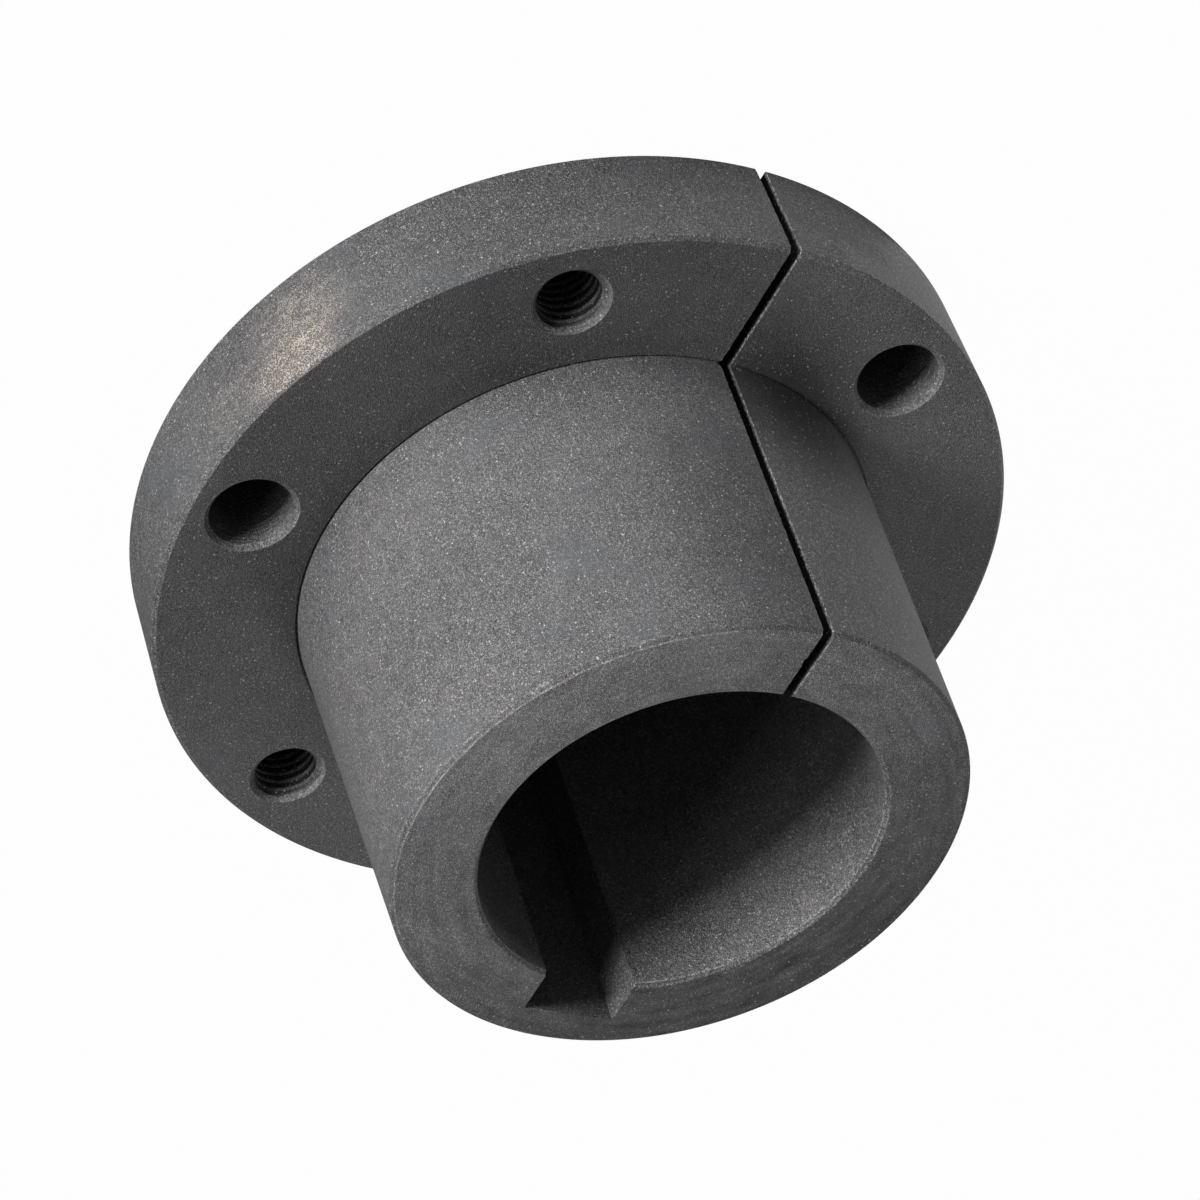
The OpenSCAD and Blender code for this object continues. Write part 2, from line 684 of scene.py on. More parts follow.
    def edge_chips(self, tree: Shaping) -> list[bpy.types.NodeSocket]:
        """The cutters of the chips: small ones strewn along both edges of the saw cut, and larger ones.

        Args:
            tree: the tree to add to.

        Returns:
            One mesh of small lumps for each edge, and one for each larger chip.
        """
        cutters = []
        outline = tree.section()
        lump = tree.node("GeometryNodeMeshIcoSphere", {}, {"Radius": 1.0, "Subdivisions": 2}).outputs[0]
        for seed, side in enumerate((-1, 1), start=self.first_chip_seed):
            edge = tree.moved(outline, (0.0, side * self.slit_w / 2, 0.0), (math.pi / 2, 0.0, math.pi))
            inputs = {"Curve": edge, "Count": tree.size(f"Chips on edge {seed}", self.chip_count)}
            points = tree.node("GeometryNodeCurveToPoints", {"mode": "COUNT"}, inputs).outputs[0]
            smallest = tuple(self.chip_size * share for share in self.smallest_chip)
            largest = tuple(self.chip_size * share for share in self.largest_chip)
            span = {"Min": smallest, "Max": largest, "Seed": seed}
            scale = tree.node("FunctionNodeRandomValue", {"data_type": "FLOAT_VECTOR"}, span).outputs[0]
            inputs = {"Points": points, "Instance": lump, "Scale": scale}
            copies = tree.node("GeometryNodeInstanceOnPoints", {}, inputs).outputs[0]
            cutters.append(tree.node("GeometryNodeRealizeInstances", {}, {"Geometry": copies}).outputs[0])
        for chip in self.chips:
            place = tuple(value * MM for value in chip.place)
            size = tuple(value * MM for value in chip.size)
            cutters.append(tree.moved(lump, place, scale=size))
        return cutters

    def build(self, material: bpy.types.Material) -> bpy.types.Object:
        """Builds the bushing and puts it in place of the plain solid.

        Args:
            material: its finish.

        Returns:
            The piece.
        """
        tree = Shaping("bushing_from_bar")
        size = self.sizes
        step = 2 * math.pi / size.holes
        count = tree.size("Holes of each kind", size.holes)
        circle = tree.size("Screw circle radius", size.screw_circle_r)
        plain = Ring(circle, count, step / 4)
        tapped = Ring(circle, count, -step / 4)
        plain_r = tree.size("Plain hole radius", size.plain_r)
        core_r = tree.size("Thread core radius", size.core_r)
        sink = tree.size("Thread radius at the mouth", self.thread_r + self.sink_w) - core_r
        cutters = [self.keyway(tree), self.saw_cut(tree)]
        cutters += self.drill(tree, plain_r, tree.size("Plain hole chamfer", self.hole_chamfer), plain)
        cutters += self.drill(tree, core_r, sink, tapped)
        cutters.append(self.tap(tree, core_r, tapped))
        cutters += self.edge_chips(tree)
        solid = tree.without_crumbs(tree.cut(self.blank(tree), cutters), self.crumb_points)
        tree.finish(solid, material, self.sharp_angle)
        piece = tree.run("bushing_body", self.outline())
        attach(piece, BODY)
        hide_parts(NODE)
        return piece


class Surface(Graph):
    """Patterns on a turned piece, from its Object coordinates in millimetres."""

    def __init__(self, tree: bpy.types.NodeTree) -> None:
        """Adds the coordinates.

        Args:
            tree: the material's tree.
        """
        super().__init__(tree)
        object_place = self.node("ShaderNodeTexCoord").outputs["Object"]
        inputs = {0: object_place, "Scale": 1 / MM}
        self.place = self.node("ShaderNodeVectorMath", {"operation": "SCALE"}, inputs).outputs[0]
        parts = self.node("ShaderNodeSeparateXYZ", {}, {0: self.place}).outputs
        self.x, self.y, self.z = (self.signal(part) for part in parts)
        self.radius = (self.x * self.x + self.y * self.y).math("SQRT")
        self.angle = self.y.math("ARCTAN2", self.x) * math.degrees(1)

    def stretched(self, stretch: tuple[float, ...], shift: tuple[float, ...]) -> bpy.types.NodeSocket:
        """The coordinates, scaled and then moved.

        Args:
            stretch: how much each of the three coordinates is scaled.
            shift: how far the result is moved along each, so that two patterns differ.

        Returns:
            The coordinates.
        """
        inputs = {0: self.place, 1: stretch, 2: shift}
        return self.node("ShaderNodeVectorMath", {"operation": "MULTIPLY_ADD"}, inputs).outputs[0]

    def cloud(self, place: bpy.types.NodeSocket, detail: float) -> Signal:
        """A noise around zero, with features of about one unit.

        Args:
            place: the coordinates that it reads.
            detail: how many finer layers it has.

        Returns:
            The noise, mostly between -0.5 and 0.5.
        """
        inputs = {"Vector": place, "Scale": 1.0, "Detail": detail, "Roughness": 0.55}
        return (self.signal(self.node("ShaderNodeTexNoise", {}, inputs).outputs["Fac"]) - 0.5) * 2

    def noise(self, kind: Noise) -> Signal:
        """A soft noise in space.

        Args:
            kind: its size, its layers and its seed.

        Returns:
            The noise, mostly between -0.5 and 0.5.
        """
        across = 1 / (kind.size * kind.drawn_out)
        shift = tuple(kind.seed * share for share in (7.3, 3.1, 5.7))
        return self.cloud(self.stretched((across, across, 1 / kind.size), shift), kind.detail)

    def arcs(self, kind: Arcs) -> Signal:
        """A noise drawn out round the axis, as a turning tool leaves it on a flat face.

        Args:
            kind: the size of its arcs, its layers and its seed.

        Returns:
            The noise, mostly between -0.5 and 0.5.
        """
        inputs = {0: self.radius / kind.width, 1: self.angle / kind.length, 2: kind.seed * 3.7}
        return self.cloud(self.node("ShaderNodeCombineXYZ", {}, inputs).outputs[0], kind.detail)

    def specks(self, kind: Specks) -> Signal:
        """Small round specks of uneven strength.

        Args:
            kind: how large they are and how close they stand.

        Returns:
            1 at the heart of the strongest specks and 0 between them.
        """
        cell = 1 / kind.spacing
        place = self.stretched((cell, cell, cell), kind.shift)
        cells = self.node("ShaderNodeTexVoronoi", {}, {"Vector": place, "Scale": 1.0})
        chance = self.node("ShaderNodeSeparateColor", {}, {0: cells.outputs["Color"]}).outputs
        strength = self.signal(chance[0]).step(1.0 - kind.share, 1.0)
        near = (self.signal(cells.outputs["Distance"]) * kind.spacing).step(kind.reach, kind.reach * 0.25)
        return near * strength

    def hoop(self, radius: float, height: float, reach: float) -> Signal:
        """Marks the surface near a circle round the axis.

        Args:
            radius: the circle's radius in millimetres.
            height: its height in millimetres.
            reach: how far from it the mark ends in millimetres.

        Returns:
            1 within a fifth of that reach, falling to 0.
        """
        out = self.radius - radius
        up = self.z - height
        return (out * out + up * up).math("SQRT").step(reach, reach * 0.2)

    def patch(self, spot: Patch) -> Signal:
        """Marks an oval patch of a turned surface.

        Args:
            spot: the patch.

        Returns:
            Its strength inside, falling to 0 at its edge.
        """
        along = (self.angle - spot.angle) / spot.half_angle
        up = (self.z - spot.height) / spot.half_height
        return (along * along + up * up).math("SQRT").step(1.0, 1.0 - spot.soft) * spot.strength

    def patches(self, spots: tuple[Patch, ...]) -> Signal:
        """The sum of several patches."""
        return total([self.patch(spot) for spot in spots])

    def streak(self, nick: Streak, top: float) -> Signal:
        """Marks a thin streak on a circle round the axis.

        Args:
            nick: the streak.
            top: the height of the small end in millimetres.

        Returns:
            1 on the streak and 0 off it.
        """
        along = abs(self.angle - nick.angle).step(nick.half_angle, nick.half_angle * 0.3)
        return self.hoop(nick.radius, top - nick.below, nick.reach) * along

    def hole_distance(self, ring_radius: float, first_angle: float, step: float) -> Signal:
        """The distance to the nearest axis of a ring of holes.

        Args:
            ring_radius: the radius of the circle they stand on, in millimetres.
            first_angle: the angle of one of them in degrees.
            step: the angle between them in degrees.

        Returns:
            The distance in millimetres.
        """
        from_start = self.angle - first_angle + step / 2 + 720
        folded = (from_start.math("MODULO", step) - step / 2) * math.radians(1)
        along = self.radius * folded.math("COSINE") - ring_radius
        aside = self.radius * folded.math("SINE")
        return (along * along + aside * aside).math("SQRT")

    def mixed(self, share: Operand, under: object, over: object) -> bpy.types.NodeSocket:
        """Lays one colour over another.

        Args:
            share: how much of the upper one shows.
            under: the lower colour.
            over: the upper colour.

        Returns:
            The mixed colour.
        """
        settings = {"data_type": "RGBA", "clamp_factor": True}
        return self.node("ShaderNodeMix", settings, {0: share, 6: under, 7: over}).outputs[2]


def total(signals: list[Signal]) -> Signal:
    """The sum of several signals."""
    return sum(signals[1:], signals[0])


@dataclass(frozen=True)
class Noise:
    """A soft noise, with the size of its features in millimetres and the number of finer layers in it.

    The seed sets it apart from the others, and it may be drawn out across the axis by a factor.
    """

    size: float
    detail: float
    seed: float
    drawn_out: float = 1.0


@dataclass(frozen=True)
class Arcs:
    """A noise in arcs round the axis, with their width in millimetres and their length in degrees."""

    width: float
    length: float
    detail: float
    seed: float


@dataclass(frozen=True)
class Specks:
    """Specks that stand one to a cell, with the cell's size and their largest radius in millimetres.

    "share" is the share of the cells that have one.
    """

    spacing: float
    reach: float
    share: float
    shift: tuple[float, float, float]


@dataclass(frozen=True)
class Patch:
    """An oval patch of a turned surface: its middle and half its reach, in degrees and millimetres.

    "soft" is the share of it that fades.
    """

    angle: float
    height: float
    half_angle: float
    half_height: float
    soft: float
    strength: float = 1.0


@dataclass(frozen=True)
class Streak:
    """A thin streak on a circle round the axis, in millimetres and degrees.

    "below" is how far it lies under the small end.
    """

    radius: float
    below: float
    angle: float
    half_angle: float
    reach: float


@dataclass(frozen=True)
class Line:
    """A thin pale line on a circle round the axis, in millimetres."""

    radius: float
    height: float
    reach: float
    strength: float


class Plan:
    """The bushing's sizes in millimetres, as the patterns of its finish read them."""

    def __init__(self, bushing: Bushing) -> None:
        """Reads the sizes.

        Args:
            bushing: the bushing.
        """
        sizes = bushing.sizes
        self.length = sizes.length / MM
        self.face = bushing.flange_t / MM
        self.rim_r = bushing.flange_r / MM
        self.barrel_r = bushing.barrel_r / MM
        self.taper = bushing.taper
        self.chamfer = bushing.edge_chamfer / MM
        self.nose_r = bushing.nose_r() / MM
        self.bore_r = sizes.bore_r / MM
        self.bore_chamfer = sizes.bore_chamfer / MM
        self.half_cut = bushing.slit_w / MM / 2
        self.screw_circle_r = sizes.screw_circle_r / MM
        self.hole_step = 360.0 / sizes.holes
        self.plain_r = sizes.plain_r / MM
        self.plain_mouth_r = self.plain_r + bushing.hole_chamfer / MM
        self.core_r = sizes.core_r / MM
        self.thread_r = bushing.thread_r / MM
        self.tapped_mouth_r = self.thread_r + bushing.sink_w / MM

    def from_plain(self, on: Surface) -> Signal:
        """The distance to the axis of the nearest plain hole, in millimetres."""
        return on.hole_distance(self.screw_circle_r, self.hole_step / 4, self.hole_step)

    def from_tapped(self, on: Surface) -> Signal:
        """The distance to the axis of the nearest threaded hole, in millimetres."""
        return on.hole_distance(self.screw_circle_r, -self.hole_step / 4, self.hole_step)

    def depth(self, on: Surface) -> Signal:
        """How deep a place lies below the turned surface, which is large only inside the saw cut.

        Args:
            on: the surface.

        Returns:
            The depth in millimetres.
        """
        in_flange = (self.rim_r - on.radius).math("MINIMUM", self.face - on.z)
        barrel_r = self.barrel_r - (on.z - self.face) * (self.taper / 2)
        in_barrel = (barrel_r - on.radius).math("MINIMUM", self.length - on.z)
        return in_flange.math("MAXIMUM", in_barrel)


@dataclass(frozen=True)
class BlackPhosphate:
    """Black phosphate on blasted iron: matt charcoal, grainy, specked, and rubbed on its edges and rim.

    The spots on the barrel and the face are painted shade, and painted light where their strength is
    negative.
    """

    plan: Plan
    colour: tuple[float, float, float, float] = (0.118, 0.115, 0.1165, 1.0)
    thin: tuple[float, float, float, float] = (0.112, 0.119, 0.127, 1.0)
    speck: tuple[float, float, float, float] = (0.68, 0.67, 0.65, 1.0)
    rubbed: tuple[float, float, float, float] = (0.60, 0.52, 0.45, 1.0)
    bare: tuple[float, float, float, float] = (0.75, 0.73, 0.70, 1.0)
    grain_contrast: float = 1.02
    clump_contrast: float = 0.47
    cloud_contrast: float = 0.3
    blotch_contrast: float = 0.3
    sparkle: float = 1.35
    smooth_calm: float = 0.45
    darkest: float = 0.12
    roughness: float = 0.6
    bare_metallic: float = 0.6
    grain_depth: float = 0.055
    drill_depth: float = 0.16
    lathe_depth: float = 0.008
    # painted shade: the rim is painted darker
    rim_painted_shade: float = 0.09
    # painted shade: a darker ring in the corner at the foot of the barrel
    foot_painted_shade: float = 0.12
    foot_shade_reach: float = 7.0
    # painted light: the bore is painted paler
    bore_painted_light: float = 0.23
    # painted shade deep inside the saw cut
    cut_painted_shade: float = 0.88
    # painted shade in the grooves of the thread
    thread_painted_shade: float = 0.85
    # painted light: the end face is painted paler, more so towards one side
    end_painted_light: float = 0.32
    end_painted_light_slope: float = 0.0135
    end_painted_light_side: float = -125.0
    worn_side: float = -115.0
    worn_from: float = 50.0
    worn_most: float = 20.0
    barrel_zone: tuple[float, float] = (80.0, 57.0)
    face_zone: tuple[float, float] = (57.0, 60.0)
    grain: Noise = Noise(0.21, 0.0, 1.0)
    clumps: Noise = Noise(0.6, 1.0, 2.0)
    smoothness: Noise = Noise(14.0, 1.0, 3.0)
    clouds: Noise = Noise(4.5, 3.0, 4.0)
    blotches: Noise = Noise(38.0, 0.0, 5.0)
    flakes: Noise = Noise(0.23, 0.0, 7.0, 1.4)
    wear: Noise = Noise(2.6, 2.0, 8.0, 2.0)
    ragged: Noise = Noise(7.0, 1.0, 9.0)
    broken: Noise = Noise(0.5, 1.0, 11.0)
    drilled: Noise = Noise(0.55, 1.0, 12.0, 30.0)
    turned: Noise = Noise(0.35, 0.0, 13.0, 40.0)
    end_spots: Noise = Noise(3.0, 2.0, 15.0)
    end_arcs: Arcs = Arcs(1.8, 12.0, 2.0, 16.0)
    specks: Specks = Specks(0.78, 0.23, 0.75, (5.1, 2.3, 8.9))
    smooth_spots: tuple[Patch, ...] = (
        Patch(-138.0, 69.0, 9.0, 10.0, 0.9),
        Patch(-87.0, 13.0, 9.0, 10.0, 0.9),
        Patch(-160.0, 92.9, 24.0, 1.5, 0.9, 0.4),
    )
    # painted shade on the barrel, and painted light where the strength is negative
    barrel_painted_shading: tuple[Patch, ...] = (
        Patch(165.0, 32.0, 32.0, 28.0, 1.0, 0.8),
        Patch(-176.0, 62.0, 26.0, 48.0, 0.9, 0.3),
        Patch(-112.0, 82.0, 32.0, 24.0, 1.0, -0.16),
    )
    # painted shade on the face of the flange, and painted light where the strength is negative
    face_painted_shading: tuple[Patch, ...] = (
        Patch(-152.0, 23.8, 50.0, 2.0, 0.8, 0.17),
        Patch(118.0, 23.8, 40.0, 2.0, 0.8, -0.22),
    )
    rubbed_spots: tuple[Patch, ...] = (
        Patch(-113.0, 20.5, 8.5, 8.5, 0.7),
        Patch(-115.5, 11.5, 11.0, 13.0, 0.8, 0.55),
    )
    stray_spot: Patch = Patch(-104.0, 16.0, 9.0, 9.0, 1.0, 0.4)
    nicks: tuple[Streak, ...] = (
        Streak(53.5, 0.0, -96.0, 5.2, 0.2),
        Streak(53.5, 0.0, -118.0, 2.6, 0.14),
        Streak(54.5, 0.7, 154.5, 1.8, 0.3),
    )

    def material(self) -> bpy.types.Material:
        """Makes the material.

        Returns:
            The material.
        """
        made = bpy.data.materials.new("black_phosphate")
        made.use_nodes = True
        made.node_tree.nodes.clear()
        on = Surface(made.node_tree)
        grain = on.noise(self.grain)
        clumps = on.noise(self.clumps)
        smooth = self.smooth(on)
        blotches = on.noise(self.clouds) * self.cloud_contrast
        blotches = blotches + on.noise(self.blotches) * self.blotch_contrast
        bright = (grain * 1.9 + clumps * 0.8).hold()
        texture = grain * self.grain_contrast + clumps * self.clump_contrast - 0.015
        texture = (texture + bright * bright * self.sparkle) * (1 - smooth * self.smooth_calm)
        paler = texture + blotches + self.thin_edges(on, clumps)
        shade = ((1 + paler) * self.painted_light_and_shade(on, clumps)).math("MAXIMUM", self.darkest)
        tone = on.mixed(smooth * 0.8, self.colour, self.thin)
        base = on.node("ShaderNodeVectorMath", {"operation": "SCALE"}, {0: tone, "Scale": shade}).outputs[0]
        specks = on.specks(self.specks) * (0.7 + clumps * 1.9)
        rub = self.rub(on, grain)
        bare = self.scratches(on)
        colour = on.mixed(specks.hold(), base, self.speck)
        colour = on.mixed(rub, colour, self.rubbed)
        colour = on.mixed(bare, colour, self.bare)
        height = (grain * 1.2 + clumps) * self.grain_depth + self.tool_marks(on)
        bump = on.node("ShaderNodeBump", {}, {"Strength": 1.0, "Distance": MM, "Height": height})
        uneven = grain * 0.12 + blotches * 0.2 - smooth * 0.07 - rub * 0.12 - bare * 0.25
        inputs = {
            "Base Color": colour,
            "Roughness": (self.roughness + uneven).hold(),
            "Metallic": bare * self.bare_metallic,
            "Normal": bump.outputs[0],
        }
        shader = on.node("ShaderNodeBsdfPrincipled", {}, inputs)
        on.node("ShaderNodeOutputMaterial", {}, {"Surface": shader.outputs[0]})
        return made

    def smooth(self, on: Surface) -> Signal:
        """Where the coat is smoother and a little bluer.

        Args:
            on: the surface.

        Returns:
            How smooth it is.
        """
        scattered = (on.noise(self.smoothness) * 4 - 0.1).step(0.35, 1.5) * 0.6
        return (scattered + on.patches(self.smooth_spots)).hold()

    def painted_light_and_shade(self, on: Surface, clumps: Signal) -> Signal:
        """The painted light and shade of each surface, against the barrel: a paler end face and bore, a
        darker rim, a darker corner at the barrel's foot, and painted spots, thread and saw cut.

        Each zone fades out over a few tenths of a millimetre, on the rounding of its edge.

        Args:
            on: the surface.
            clumps: its coarser noise.

        Returns:
            The factor.
        """
        plan = self.plan
        on_end = on.z.step(plan.length - 0.3, plan.length - 0.05)
        on_rim = on.radius.step(plan.rim_r - 0.6, plan.rim_r - 0.1)
        in_bore = on.radius.step(plan.bore_r + 0.3, plan.bore_r + 0.1)
        # painted shade in the corner at the foot of the barrel
        foot = on.hoop(plan.barrel_r, plan.face, self.foot_shade_reach)
        level = 1 + on_end * self.end_painted_light_and_arcs(on) + in_bore * self.bore_painted_light
        level = level - on_rim * self.rim_painted_shade - foot * self.foot_painted_shade
        return level * self.painted_spot_level(on) * self.thread_painted_shading(on) * self.cut_painted_shading(on, clumps)

    def end_painted_light_and_arcs(self, on: Surface) -> Signal:
        """The painted light on the end face: paler all over and more so towards one side, with soft spots
        and turning arcs of its own tone.

        Args:
            on: the surface.

        Returns:
            What is added to its level.
        """
        side = math.radians(self.end_painted_light_side)
        slope = (on.x * math.cos(side) + on.y * math.sin(side)) * self.end_painted_light_slope
        return self.end_painted_light + slope + on.noise(self.end_spots) * 0.4 + on.arcs(self.end_arcs) * 0.8

    def painted_spot_level(self, on: Surface) -> Signal:
        """The level of the painted shade and painted light in spots on the barrel and on the face of the
        flange.

        Args:
            on: the surface.

        Returns:
            The factor.
        """
        on_barrel = on.patches(self.barrel_painted_shading) * on.radius.step(*self.barrel_zone)
        on_face = on.patches(self.face_painted_shading) * on.radius.step(*self.face_zone)
        return 1 - on_barrel - on_face

    def thread_painted_shading(self, on: Surface) -> Signal:
        """The level in the thread: its grooves get painted shade, and its crests a painted highlight that
        grows with depth.

        Args:
            on: the surface.

        Returns:
            The factor.
        """
        plan = self.plan
        from_axis = plan.from_tapped(on)
        in_thread = from_axis.step(plan.thread_r + 0.15, plan.thread_r)
        in_thread = in_thread * on.z.step(plan.face - 1.2, plan.face - 1.7)
        crest = from_axis.step(plan.core_r + 0.25, plan.core_r + 0.1)
        deep = on.z.step(plan.face - 2.5, plan.face - 5.0)
        return 1 + in_thread * (crest * (0.55 + deep * 0.75) - self.thread_painted_shade)

    def cut_painted_shading(self, on: Surface, clumps: Signal) -> Signal:
        """The level on the walls of the saw cut: pale and blotchy at their edges, as saw marks and painted
        light, and painted shade deeper inside.

        Args:
            on: the surface.
            clumps: its coarser noise.

        Returns:
            The factor.
        """
        plan = self.plan
        in_cut = abs(on.y).step(plan.half_cut + 0.2, plan.half_cut + 0.05) * (0 - on.x).step(10.0, 20.0)
        inside = in_cut * plan.depth(on).step(0.4, 1.2)
        return (1 + in_cut * (0.25 + clumps * 1.8)) * (1 - inside * self.cut_painted_shade)

    def thin_edges(self, on: Surface, clumps: Signal) -> Signal:
        """Where the coat is thin and paler: thin broken lines along the edges, and the mouths of the holes.

        Args:
            on: the surface.
            clumps: its coarser noise.

        Returns:
            How much paler it is.
        """
        plan = self.plan
        lines = (
            Line(plan.nose_r, plan.length - plan.chamfer, 0.26, 0.25),
            Line(plan.nose_r - plan.chamfer, plan.length, 0.26, 0.12),
            Line(plan.bore_r + plan.bore_chamfer * 0.6, plan.length, 0.55, 0.8),
            Line(plan.bore_r, plan.length - plan.bore_chamfer, 0.3, 1.0),
            Line(plan.rim_r, plan.face - plan.chamfer, 0.3, 0.6),
            Line(plan.rim_r - plan.chamfer, plan.face, 0.3, 0.3),
        )
        drawn = total([on.hoop(line.radius, line.height, line.reach) * line.strength for line in lines])
        ragged = (clumps * 3.0 + on.noise(self.ragged) * 1.5 + 0.45).hold()
        return drawn * ragged * 1.1 + self.mouths(on) * (0.5 + ragged * 0.6)

    def mouths(self, on: Surface) -> Signal:
        """How pale the mouths of the holes are, and most of all the lips of the plain ones.

        Args:
            on: the surface.

        Returns:
            How much paler they are.
        """
        plan = self.plan
        from_plain = plan.from_plain(on)
        plain_r, lip_r, sink_r = plan.plain_r, plan.plain_mouth_r, plan.tapped_mouth_r
        flare = from_plain.band(plain_r, plain_r + 0.15, lip_r, lip_r + 0.15)
        lip = from_plain.band(lip_r - 0.3, lip_r, lip_r, lip_r + 0.2)
        sink = plan.from_tapped(on).band(plan.thread_r - 0.3, plan.thread_r, sink_r, sink_r + 0.2)
        return flare * 0.3 + lip * 0.5 + sink * 0.5

    def rub(self, on: Surface, grain: Signal) -> Signal:
        """Where the black is rubbed away to the tan under it: a patch of the rim, and flecks on the nose.

        Args:
            on: the surface.
            grain: its fine noise.

        Returns:
            How much of the tan shows.
        """
        plan = self.plan
        flakes = on.noise(self.flakes)
        wear = on.noise(self.wear)
        flecks = (flakes * 3.4 + grain * 2.4 + wear * 2.2 - 0.25).hold()
        rubbed = on.patches(self.rubbed_spots).hold() * (flecks * 1.1 + 0.08)
        strays = on.patch(self.stray_spot) * (flecks - 0.35).hold() * 1.6
        on_rim = on.radius.step(plan.rim_r - 0.9, plan.rim_r - 0.2)
        nose = on.hoop(plan.nose_r, plan.length - plan.chamfer, 0.5)
        nose = nose + on.hoop(plan.nose_r - plan.chamfer, plan.length, 0.5)
        worn = abs(on.angle - self.worn_side).step(self.worn_from, self.worn_most)
        worn = worn * (flakes * 2.5 + wear * 2.0 - 0.4).hold()
        return (rubbed + strays) * on_rim + nose * worn * 0.5

    def scratches(self, on: Surface) -> Signal:
        """Where the metal shows bare: a few bright nicks on the edge of the nose.

        Args:
            on: the surface.

        Returns:
            How much bare metal shows.
        """
        marks = total([on.streak(nick, self.plan.length) for nick in self.nicks])
        return (marks * (on.noise(self.broken) * 3.0 + 0.75).hold()).hold()

    def tool_marks(self, on: Surface) -> Signal:
        """Faint rings that the drill left in the plain holes, and the lathe on the barrel and in the bore.

        Args:
            on: the surface.

        Returns:
            Their height in millimetres.
        """
        in_hole = self.plan.from_plain(on).step(self.plan.plain_r + 0.3, self.plan.plain_r + 0.1)
        turned = on.noise(self.turned) * self.lathe_depth
        return turned + on.noise(self.drilled) * in_hole * self.drill_depth


def direction(azimuth: float, elevation: float) -> Vector:
    """The way out from the bushing to a camera or a lamp.

    Args:
        azimuth: its angle round the axis in degrees, from -Y.
        elevation: its angle above the floor in degrees.

    Returns:
        A vector of length 1.
    """
    turn, lift = math.radians(azimuth), math.radians(elevation)
    return Vector((math.sin(turn) * math.cos(lift), -math.cos(turn) * math.cos(lift), math.sin(lift)))


@dataclass(frozen=True)
class Viewpoint:
    """Where the photograph was taken from, in millimetres and degrees."""

    target: tuple[float, float, float] = (-7.09, -4.867, 37.253)
    azimuth: float = -47.8895
    elevation: float = 42.8223
    distance: float = 760.103
    roll: float = 159.5939
    lens: float = 121.6303

    def place(self) -> bpy.types.Object:
        """Puts the camera there.

        Returns:
            The camera.
        """
        back = direction(self.azimuth, self.elevation)
        data = bpy.data.cameras.new("camera")
        data.lens = self.lens
        data.clip_start = 0.01
        data.clip_end = 20.0
        camera = bpy.data.objects.new("camera", data)
        camera.location = Vector(self.target) * MM + back * self.distance * MM
        level = (-back).to_track_quat("-Z", "Y")
        camera.rotation_mode = "QUATERNION"
        camera.rotation_quaternion = Quaternion(back, math.radians(self.roll)) @ level
        bpy.context.scene.collection.objects.link(camera)
        bpy.context.scene.camera = camera
        return camera


class Stand(Enum):
    """Whether a lamp hangs or lies flat, with the height in metres that its direction starts from."""

    HUNG = 0.04
    FLAT = 0.0002


@dataclass(frozen=True)
class Lamp:
    """A square soft lamp aimed at the bushing, or a lit card that lies on the floor beside it.

    Its place is a direction in degrees and a distance in metres.
    """

    name: str
    azimuth: float
    elevation: float
    distance: float
    width: float
    power: float
    stand: Stand = Stand.HUNG

    def hang(self) -> bpy.types.Object:
        """Hangs the lamp.

        Returns:
            The lamp.
        """
        back = direction(self.azimuth, self.elevation)
        data = bpy.data.lights.new(self.name, "AREA")
        data.shape = "SQUARE"
        data.size = self.width
        data.energy = self.power
        lamp = bpy.data.objects.new(self.name, data)
        lamp.location = back * self.distance + Vector((0.0, 0.0, self.stand.value))
        lamp.rotation_mode = "QUATERNION"
        lamp.rotation_quaternion = (-back).to_track_quat("-Z", "Y")
        if self.stand is Stand.FLAT:
            up = Vector((0.0, 0.0, 1.0))
            turn = Quaternion(up, math.radians(self.azimuth))
            lamp.rotation_quaternion = turn @ up.to_track_quat("-Z", "Y")
        lamp.visible_camera = self.stand is not Stand.FLAT
        bpy.context.scene.collection.objects.link(lamp)
        return lamp


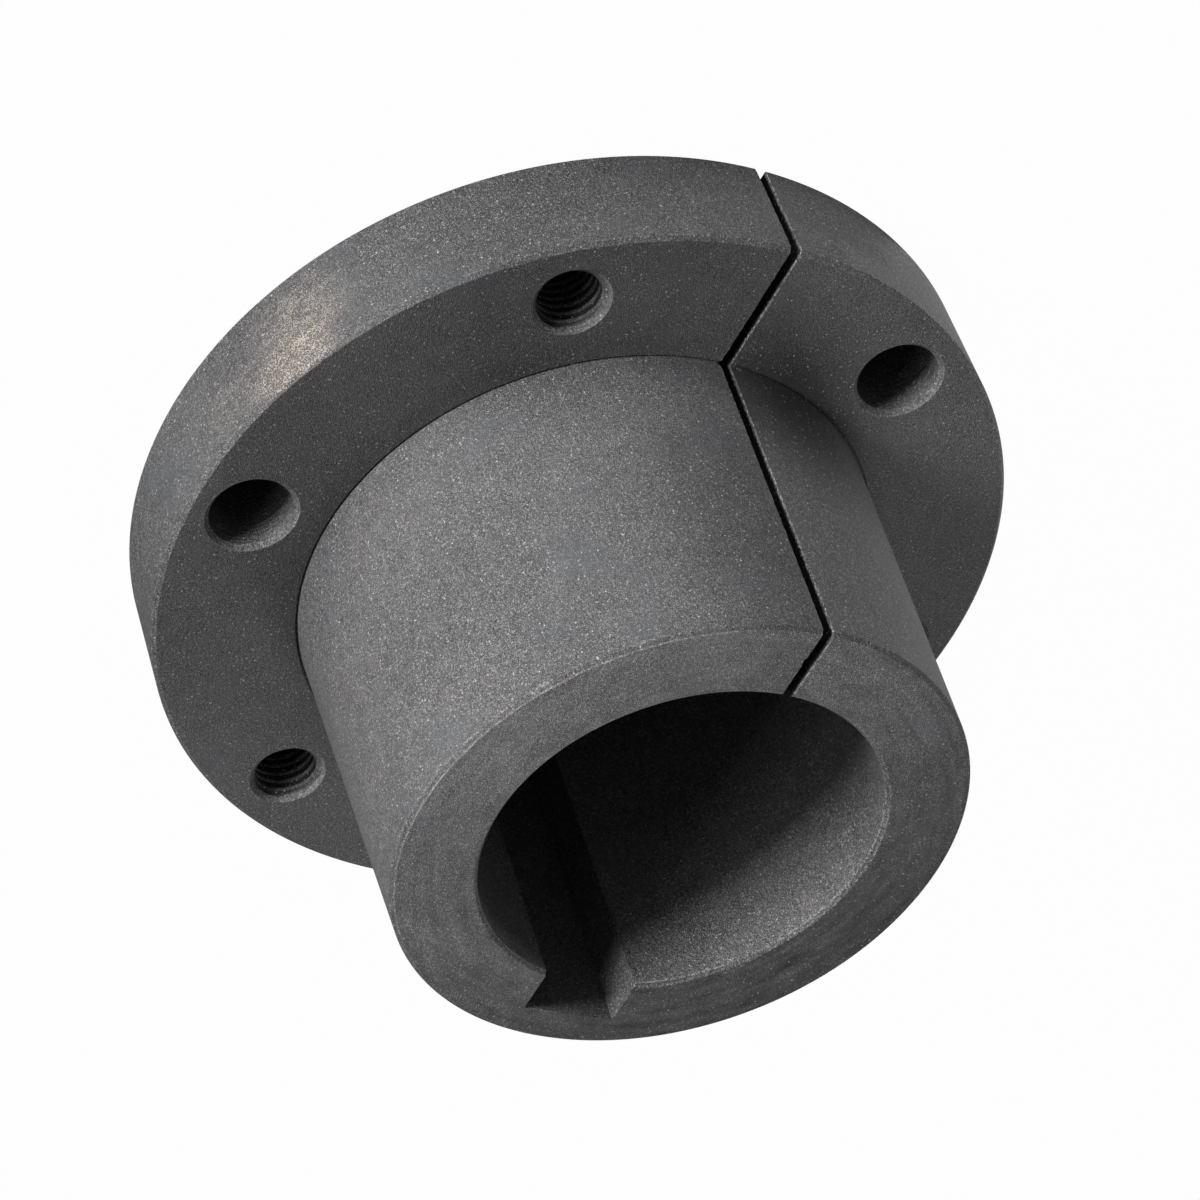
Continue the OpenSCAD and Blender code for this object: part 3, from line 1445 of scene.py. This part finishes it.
@dataclass
class Studio:
    """The white floor, the white surroundings, the lamps and the camera."""

    floor_width: float = 6.0
    lamps: tuple[Lamp, ...] = (
        Lamp("main_lamp", -15.0, 11.0, 1.2, 0.32, 14.9),
        Lamp("high_lamp", 0.0, 28.0, 1.2, 0.3, 1.2),
        Lamp("soft_lamp", -50.0, 20.0, 1.2, 0.4, 0.15),
        Lamp("end_lamp", 135.0, 35.0, 1.2, 0.4, 2.3),
        Lamp("top_lamp", 180.0, 60.0, 1.2, 0.3, 0.9),
        Lamp("edge_lamp", -163.0, 5.0, 1.2, 0.2, 1.8),
        Lamp("front_card", -60.0, 0.0, 0.26, 0.3, 0.08, Stand.FLAT),
        Lamp("right_card", -126.0, 0.0, 0.303, 0.44, 0.44, Stand.FLAT),
        Lamp("slit_card", -100.0, 0.0, 0.303, 0.44, 0.09, Stand.FLAT),
    )
    surround: float = 0.058
    floor_paint: float = 0.35
    floor_glow: float = 0.985

    def lay_floor(self) -> bpy.types.Object:
        """Lays the floor that the flange stands on.

        Returns:
            The floor.
        """
        half = self.floor_width / 2
        corners = [(-half, -half, 0.0), (half, -half, 0.0), (half, half, 0.0), (-half, half, 0.0)]
        mesh = bpy.data.meshes.new("floor")
        mesh.from_pydata(corners, [], [(0, 1, 2, 3)])
        floor = bpy.data.objects.new("floor", mesh)
        floor.data.materials.append(self.floor_material())
        bpy.context.scene.collection.objects.link(floor)
        return floor

    def floor_material(self) -> bpy.types.Material:
        """Grey paint to the light, and almost white to the camera, which still sees a faint shadow on it.

        Returns:
            The material.
        """
        made = bpy.data.materials.new("white_floor")
        made.use_nodes = True
        made.node_tree.nodes.clear()
        graph = Graph(made.node_tree)
        paint = graph.node("ShaderNodeBsdfDiffuse", {}, {"Color": (*[self.floor_paint] * 3, 1.0)})
        glow = graph.node("ShaderNodeEmission", {}, {"Color": WHITE, "Strength": 1.0})
        rays = graph.node("ShaderNodeLightPath")
        seen = graph.signal(rays.outputs["Is Camera Ray"]) * self.floor_glow
        mixed = graph.node("ShaderNodeMixShader", {}, {0: seen, 1: paint.outputs[0], 2: glow.outputs[0]})
        graph.node("ShaderNodeOutputMaterial", {}, {"Surface": mixed.outputs[0]})
        return made

    def set_world(self) -> None:
        """Makes the surroundings white, and dim where they light the bushing."""
        world = bpy.data.worlds.new("surroundings")
        world.use_nodes = True
        world.node_tree.nodes.clear()
        graph = Graph(world.node_tree)
        rays = graph.node("ShaderNodeLightPath")
        strength = graph.signal(rays.outputs["Is Camera Ray"]).math("MAXIMUM", self.surround)
        light = graph.node("ShaderNodeBackground", {}, {"Color": WHITE, "Strength": strength})
        graph.node("ShaderNodeOutputWorld", {}, {"Surface": light.outputs[0]})
        bpy.context.scene.world = world

    def build(self) -> None:
        """Builds the studio."""
        bpy.context.scene.view_settings.view_transform = "Standard"
        self.lay_floor()
        self.set_world()
        for lamp in self.lamps:
            lamp.hang()
        Viewpoint().place()


def report(piece: bpy.types.Object) -> None:
    """Writes a piece's size to the log.

    Args:
        piece: the piece.
    """
    piece.data.calc_loop_triangles()
    low, high = (tuple(round(v / MM, 2) for v in piece.bound_box[i]) for i in (0, 6))
    log.info("%s: %d triangles, %s to %s mm", piece.name, len(piece.data.loop_triangles), low, high)


def main() -> None:
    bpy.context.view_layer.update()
    bushing = Bushing(Sizes())
    report(bushing.build(BlackPhosphate(Plan(bushing)).material()))
    Studio().build()


if __name__ == "__main__":
    main()
